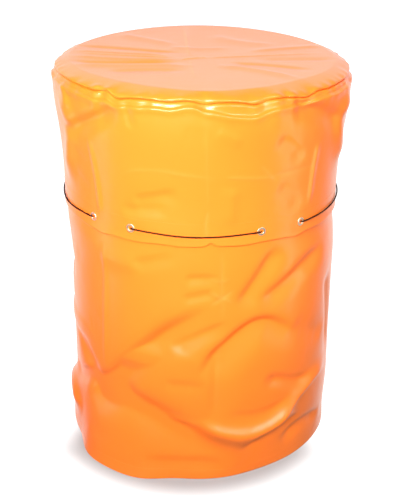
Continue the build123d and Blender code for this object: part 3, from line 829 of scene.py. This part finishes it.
over_turn = np.linspace(0.0, 1.0, roll_rows, endpoint=False)[:, None] ** 1.15 * quarter
over_radii = flat_radius + (roll_radius - flat_radius) * np.cos(over_turn)
back_lift = 0.0075 * bell(180.0 - np.abs(cap_round), 52.0)
over_rise = 0.5 * np.sin(over_turn) + 0.5 * (1.0 - np.cos(over_turn))
over_heights = roll_height + (top_height + back_lift - roll_height) * over_rise
over_heights = over_heights + (0.0012 * waves + 0.0016 * tucked) * bell(over_radii - 0.31, 0.007)
inward = np.linspace(0.0, 1.0, top_rows)[:, None]
pole_radius = 0.003
top_radii = flat_radius + (pole_radius - flat_radius) * inward
top_share = np.square(top_radii / flat_radius)
top_heights = top_height + back_lift * top_share - 0.0022 * (1.0 - top_share)
tuck_in = np.array([seam_allowance, 0.005, 0.0012])[:, None]
allow_radii = seam_radius - np.array([0.0004, 0.0004, 0.0003])[:, None] + 0.0 * cap_round
panel_radii = np.vstack([allow_radii, under_radii, over_radii, top_radii])
panel_heights = np.vstack([seam_edge - tuck_in, under_heights, over_heights, top_heights])
panel_points = ring_points(np.broadcast_to(cap_round, panel_radii.shape), panel_radii, panel_heights)
over_top = ramp(-panel_radii, -0.306, -0.285)
panel_points[..., 2] += top_relief(panel_points[..., 0], panel_points[..., 1]) * over_top
panel_wear = np.zeros(panel_radii.shape)
for path, depth, width in top_creases:
    panel_wear += crease(panel_points[..., 0], panel_points[..., 1], path, depth, width, width, 1.0)
panel_wear = np.clip(panel_wear / 0.0014, 0.0, 1.0) * 0.14 * over_top
steps = np.hypot(np.diff(panel_radii[:, 0]), np.diff(panel_heights[:, 0]))
reach_in = np.append(np.cumsum(steps[::-1])[::-1], 0.0)[:, None] + pole_radius
panel_turn = np.radians(cap_angles)[None, :]
panel_flat = np.stack([reach_in * np.sin(panel_turn), -reach_in * np.cos(panel_turn)], axis=-1)
panel = grid_surface("cap_top_cloth", panel_points, panel_flat, closed=True, pole=True, wear=panel_wear)
panel.data.materials.append(cloth)
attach(panel, "cap")
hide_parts("cap_top_panel")

# Stitching. The hems and the back seams are sewn with an orange thread, a row at the edge of each
# turned-in layer and a pair beside each upright joint. A stitch is a short plump bead.

thread = bpy.data.materials.new("sewing_thread")
look = Finish(thread)
fibre = look.noise(look.place(), Scale=900.0, Detail=2.0)
look.shade(Base_Color=look.tones(fibre, (0.75, 0.12, 0.01, 1.0), (0.95, 0.26, 0.03, 1.0)), Roughness=0.6)

stitch_length = 0.0031
stitch_pitch = 0.0038
stitch_thickness = 0.0007
stitch_lift = 0.0001
hem_stitch_in = 0.0225


def stitching(name, middles, along, outward, body):
    """A row of stitches. Each is a bead round its middle: five rings that swell and close along the
    seam, six points to a ring, flattened against the cloth."""
    rings = 5
    sides = 6
    ends = np.linspace(-0.5, 0.5, rings)
    swell = np.sqrt(np.maximum(1.0 - np.square(2 * ends * 0.985), 0.0)) * 0.5 * stitch_thickness
    turn = np.arange(sides) / sides * 2 * np.pi
    sideways = np.cross(outward, along)
    ring = (np.cos(turn)[None, :, None] * sideways[:, None, :]
            + 0.8 * np.sin(turn)[None, :, None] * outward[:, None, :])
    beads = (middles[:, None, None, :]
             + (ends * stitch_length)[None, :, None, None] * along[:, None, None, :]
             + swell[None, :, None, None] * ring[:, None, :, :])
    row, column = np.meshgrid(np.arange(rings - 1), np.arange(sides), indexing="ij")
    after = (column + 1) % sides
    bead = np.stack([row * sides + column, row * sides + after,
                     (row + 1) * sides + after, (row + 1) * sides + column], axis=-1)
    bead = bead.reshape(-1, 4)[:, ::-1]
    faces = (bead[None] + rings * sides * np.arange(len(middles))[:, None, None]).reshape(-1, 4)
    mesh = smooth_mesh(name, beads.reshape(-1, 3), faces.reshape(-1), np.full(len(faces), 4))
    mesh.validate()
    piece = bpy.data.objects.new(name, mesh)
    bpy.context.collection.objects.link(piece)
    piece.data.materials.append(thread)
    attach(piece, body)
    return piece


def sew(name, angle, height, next_angle, next_height, surface, body):
    """Stitches on a ring of cloth at angles and heights, each pointing to a place a little further on."""
    wrapped = (angle + 180.0) % 360.0 - 180.0
    next_wrapped = next_angle - angle + wrapped
    middles = ring_points(angle, surface(wrapped, height) + stitch_lift, height)
    ahead = ring_points(next_angle, surface(next_wrapped, next_height) + stitch_lift, next_height)
    along = ahead - middles
    along = along / np.linalg.norm(along, axis=1, keepdims=True)
    outward = ring_points(angle, np.ones(len(angle)), np.zeros(len(angle)))
    return stitching(name, middles, along, outward, body)


def ring_stitching(name, surface, line, body):
    """A row of stitches round a ring of cloth, at the heights that a line gives for each angle."""
    count = int(2 * np.pi * fold_radius / stitch_pitch)
    angle = np.arange(count) / count * 360.0 - 180.0
    return sew(name, angle, line(angle), angle + 0.1, line(angle + 0.1), surface, body)


def upright_stitching(name, surface, offset, low, high, body):
    """A row of stitches up a ring of cloth at the back, a little to one side of its joint."""
    count = int((high - low) / stitch_pitch)
    height = low + (np.arange(count) + 0.5) * stitch_pitch
    angle = np.full(count, 180.0 + np.degrees(offset / fold_radius))
    return sew(name, angle, height, angle, height + 0.001, surface, body)


def foot_line(angle):
    """Level, at the inner edge of the sleeve's foot hem."""
    return np.full(angle.shape, hem_stitch_in)


def top_line(angle):
    """Level, at the inner edge of the sleeve's top hem."""
    return np.full(angle.shape, sleeve_top - hem_stitch_in)


ring_stitching("cap_hem_stitching", skirt_surface, lambda angle: hem_line(angle) + 0.0495, "cap")
ring_stitching("sleeve_foot_stitching", sleeve_surface, foot_line, "sleeve")
ring_stitching("sleeve_top_stitching", sleeve_surface, top_line, "sleeve")
for side, label in ((-1, "left"), (1, "right")):
    offset = side * 0.006
    upright_stitching(f"cap_seam_stitching_{label}", skirt_surface, offset, 0.62, 0.85, "cap")
    upright_stitching(f"sleeve_seam_stitching_{label}", sleeve_surface, offset, 0.03, 0.7, "sleeve")

# Grommets. Ten two-part brass eyelets, rolled through the doubled hem and closed on a washer
# inside. They are bright, with a faint tarnish in the roll.

brass = bpy.data.materials.new("pale_brass")
look = Finish(brass)
tarnish = look.noise(look.place(), Scale=220.0, Detail=5.0)
brass_tone = look.tones(tarnish, (0.72, 0.56, 0.34, 1.0), (0.93, 0.86, 0.68, 1.0), 0.3, 0.6)
look.shade(Base_Color=brass_tone, Metallic=1.0, Roughness=look.spread(tarnish, 0.0, 1.0, 0.48, 0.32))
eyelets = [f"grommet_{number}" for number in range(1, 11)]
washers = [f"grommet_washer_{number}" for number in range(1, 11)]
refinish(eyelets + washers, brass)

# Draw cord. A thin dark brown elastic cord in a braided cover. It runs outside the hem from pair to
# pair and inside between the two grommets of a pair, and its ends are knotted at the back.

cord_radius = 0.0016
cord_sides = 12
cord_outside = 0.30879
cord_inside = 0.30105
cord_points = 1500
crossing = 1.15
braid_pitch = 0.0036
braid_strands = 6

sheath = bpy.data.materials.new("braided_elastic")
look = Finish(sheath)
on_cord = look.add("UVMap", uv_map="cloth").outputs["UV"]
strands = []
for side in (-1, 1):
    slant = look.number("MULTIPLY", look.part(on_cord, "Y"), side * 2 * np.pi / braid_pitch)
    wind = look.number("MULTIPLY_ADD", look.part(on_cord, "X"), 2 * np.pi * braid_strands, slant)
    strands.append(look.number("SINE", wind))
braid = look.number("MAXIMUM", *strands)
look.shade(Base_Color=look.tones(braid, (0.02, 0.006, 0.003, 1.0), (0.085, 0.024, 0.01, 1.0)),
           Roughness=0.9, Specular_IOR_Level=0.05, Normal=look.bump(braid, 0.6, 0.0003))


def tube(name, path, closed=False, taper=cord_radius):
    """A round cord along a path, as rings of points that stand square to it. Each ring starts on the
    way out from the drum's axis. The flat map is the turn round the cord and the distance along."""
    if closed:
        direction = np.roll(path, -1, axis=0) - np.roll(path, 1, axis=0)
    else:
        direction = np.gradient(path, axis=0)
    direction = direction / np.linalg.norm(direction, axis=1, keepdims=True)
    out = path * np.array([1.0, 1.0, 0.0])
    out = out - direction * np.sum(out * direction, axis=1, keepdims=True)
    out = out / np.linalg.norm(out, axis=1, keepdims=True)
    turn = np.arange(cord_sides) / cord_sides * 2 * np.pi
    size = np.broadcast_to(taper, len(path))[:, None, None]
    ring = np.cos(turn)[:, None] * out[:, None] + np.sin(turn)[:, None] * np.cross(direction, out)[:, None]
    points = path[:, None] + size * ring
    if closed:
        points = np.vstack([points, points[:1]])
        path = np.vstack([path, path[:1]])
    lengths = np.append(0.0, np.cumsum(np.linalg.norm(np.diff(path, axis=0), axis=1)))
    flat = np.stack(np.meshgrid(np.arange(cord_sides + 1) / cord_sides, lengths), axis=-1)
    piece = grid_surface(name, points, flat, closed=True)
    piece.data.materials.append(sheath)
    return piece


def lacing(angle):
    """How far the cord is inside the hem, from nought to one: inside between each pair's grommets, with
    a smooth change at each grommet."""
    inside = np.zeros(angle.shape)
    for first, second in zip(lace_angles[::2], lace_angles[1::2]):
        from_first = (angle - first + 180.0) % 360.0 - 180.0
        from_second = (angle - second + 180.0) % 360.0 - 180.0
        between = ramp(from_first, -crossing, crossing) * (1.0 - ramp(from_second, -crossing, crossing))
        inside += between * (np.abs(from_first) < 60.0)
    return inside


def droop(angle):
    """How far the cord sags on its way between two pairs."""
    depth = np.zeros(angle.shape)
    for index, sag in enumerate((0.0035, 0.001, 0.004, 0.004, 0.006)):
        start = lace_angles[2 * index + 1]
        end = lace_angles[(2 * index + 2) % 10] + (360.0 if index == 4 else 0.0)
        part = ((angle - start) % 360.0) / (end - start)
        depth += np.where(part < 1.0, sag * np.square(np.sin(np.pi * np.clip(part, 0.0, 1.0))), 0.0)
    return depth


cord_angles = np.arange(cord_points) / cord_points * 360.0 - 180.0
cord_droop = droop(cord_angles)
settled = cord_outside - 0.0011 * np.clip(np.abs(cord_droop) / 0.001, 0.0, 1.0)
cord_reach = settled + (cord_inside - settled) * lacing(cord_angles)
cord = tube("draw_cord_braid", ring_points(cord_angles, cord_reach, lace_height - cord_droop), closed=True)
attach(cord, "cap")
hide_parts("draw_cord")

# Knot. The cord's two ends are tied together at the back in an overhand knot, pulled tight, and the
# cut ends hang below it.

knot_low, knot_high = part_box("cord_knot")
knot_middle = 0.5 * (np.array(knot_low) + np.array(knot_high))
knot_angle = np.degrees(np.arctan2(knot_middle[0], -knot_middle[1]))
knot_out = ring_points(np.array(knot_angle), np.array(1.0), np.array(0.0))
knot_along = np.array([np.cos(np.radians(knot_angle)), np.sin(np.radians(knot_angle)), 0.0])
knot_up = np.array([0.0, 0.0, 1.0])
knot_reach = cord_outside + 0.0004
knot_centre = ring_points(np.array(knot_angle), np.array(knot_reach), np.array(lace_height - 0.004))
loop_turn = (np.arange(240) / 240 * 2 * np.pi)[:, None]
loop_size = 0.0019
loop_path = (knot_centre
             + loop_size * (np.sin(loop_turn) + 2 * np.sin(2 * loop_turn)) * knot_along
             + 0.8 * loop_size * (np.cos(loop_turn) - 2 * np.cos(2 * loop_turn)) * knot_up
             - loop_size * np.sin(3 * loop_turn) * knot_out)
knot = tube("knot_loops", loop_path, closed=True)
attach(knot, "cap")
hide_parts("cord_knot")
tail_length = 0.018
tail_spread = np.radians(14.0)
for side, label in ((-1, "left"), (1, "right")):
    part = np.linspace(0.0, 1.0, 30)
    lean = side * (0.0024 + part * tail_length * np.tan(tail_spread))
    bow = 0.0008 * np.sin(np.pi * part)
    tail_path = (knot_centre + lean[:, None] * knot_along + bow[:, None] * knot_out
                 - (0.0035 + part * tail_length)[:, None] * knot_up)
    rounded_end = 1.0 - np.square(np.clip((part - 0.94) / 0.06, 0.0, 1.0))
    taper = cord_radius * np.sqrt(np.clip(rounded_end, 0.0004, 1.0))
    tail = tube(f"knot_tail_{label}", tail_path, taper=taper)
    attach(tail, "cap")
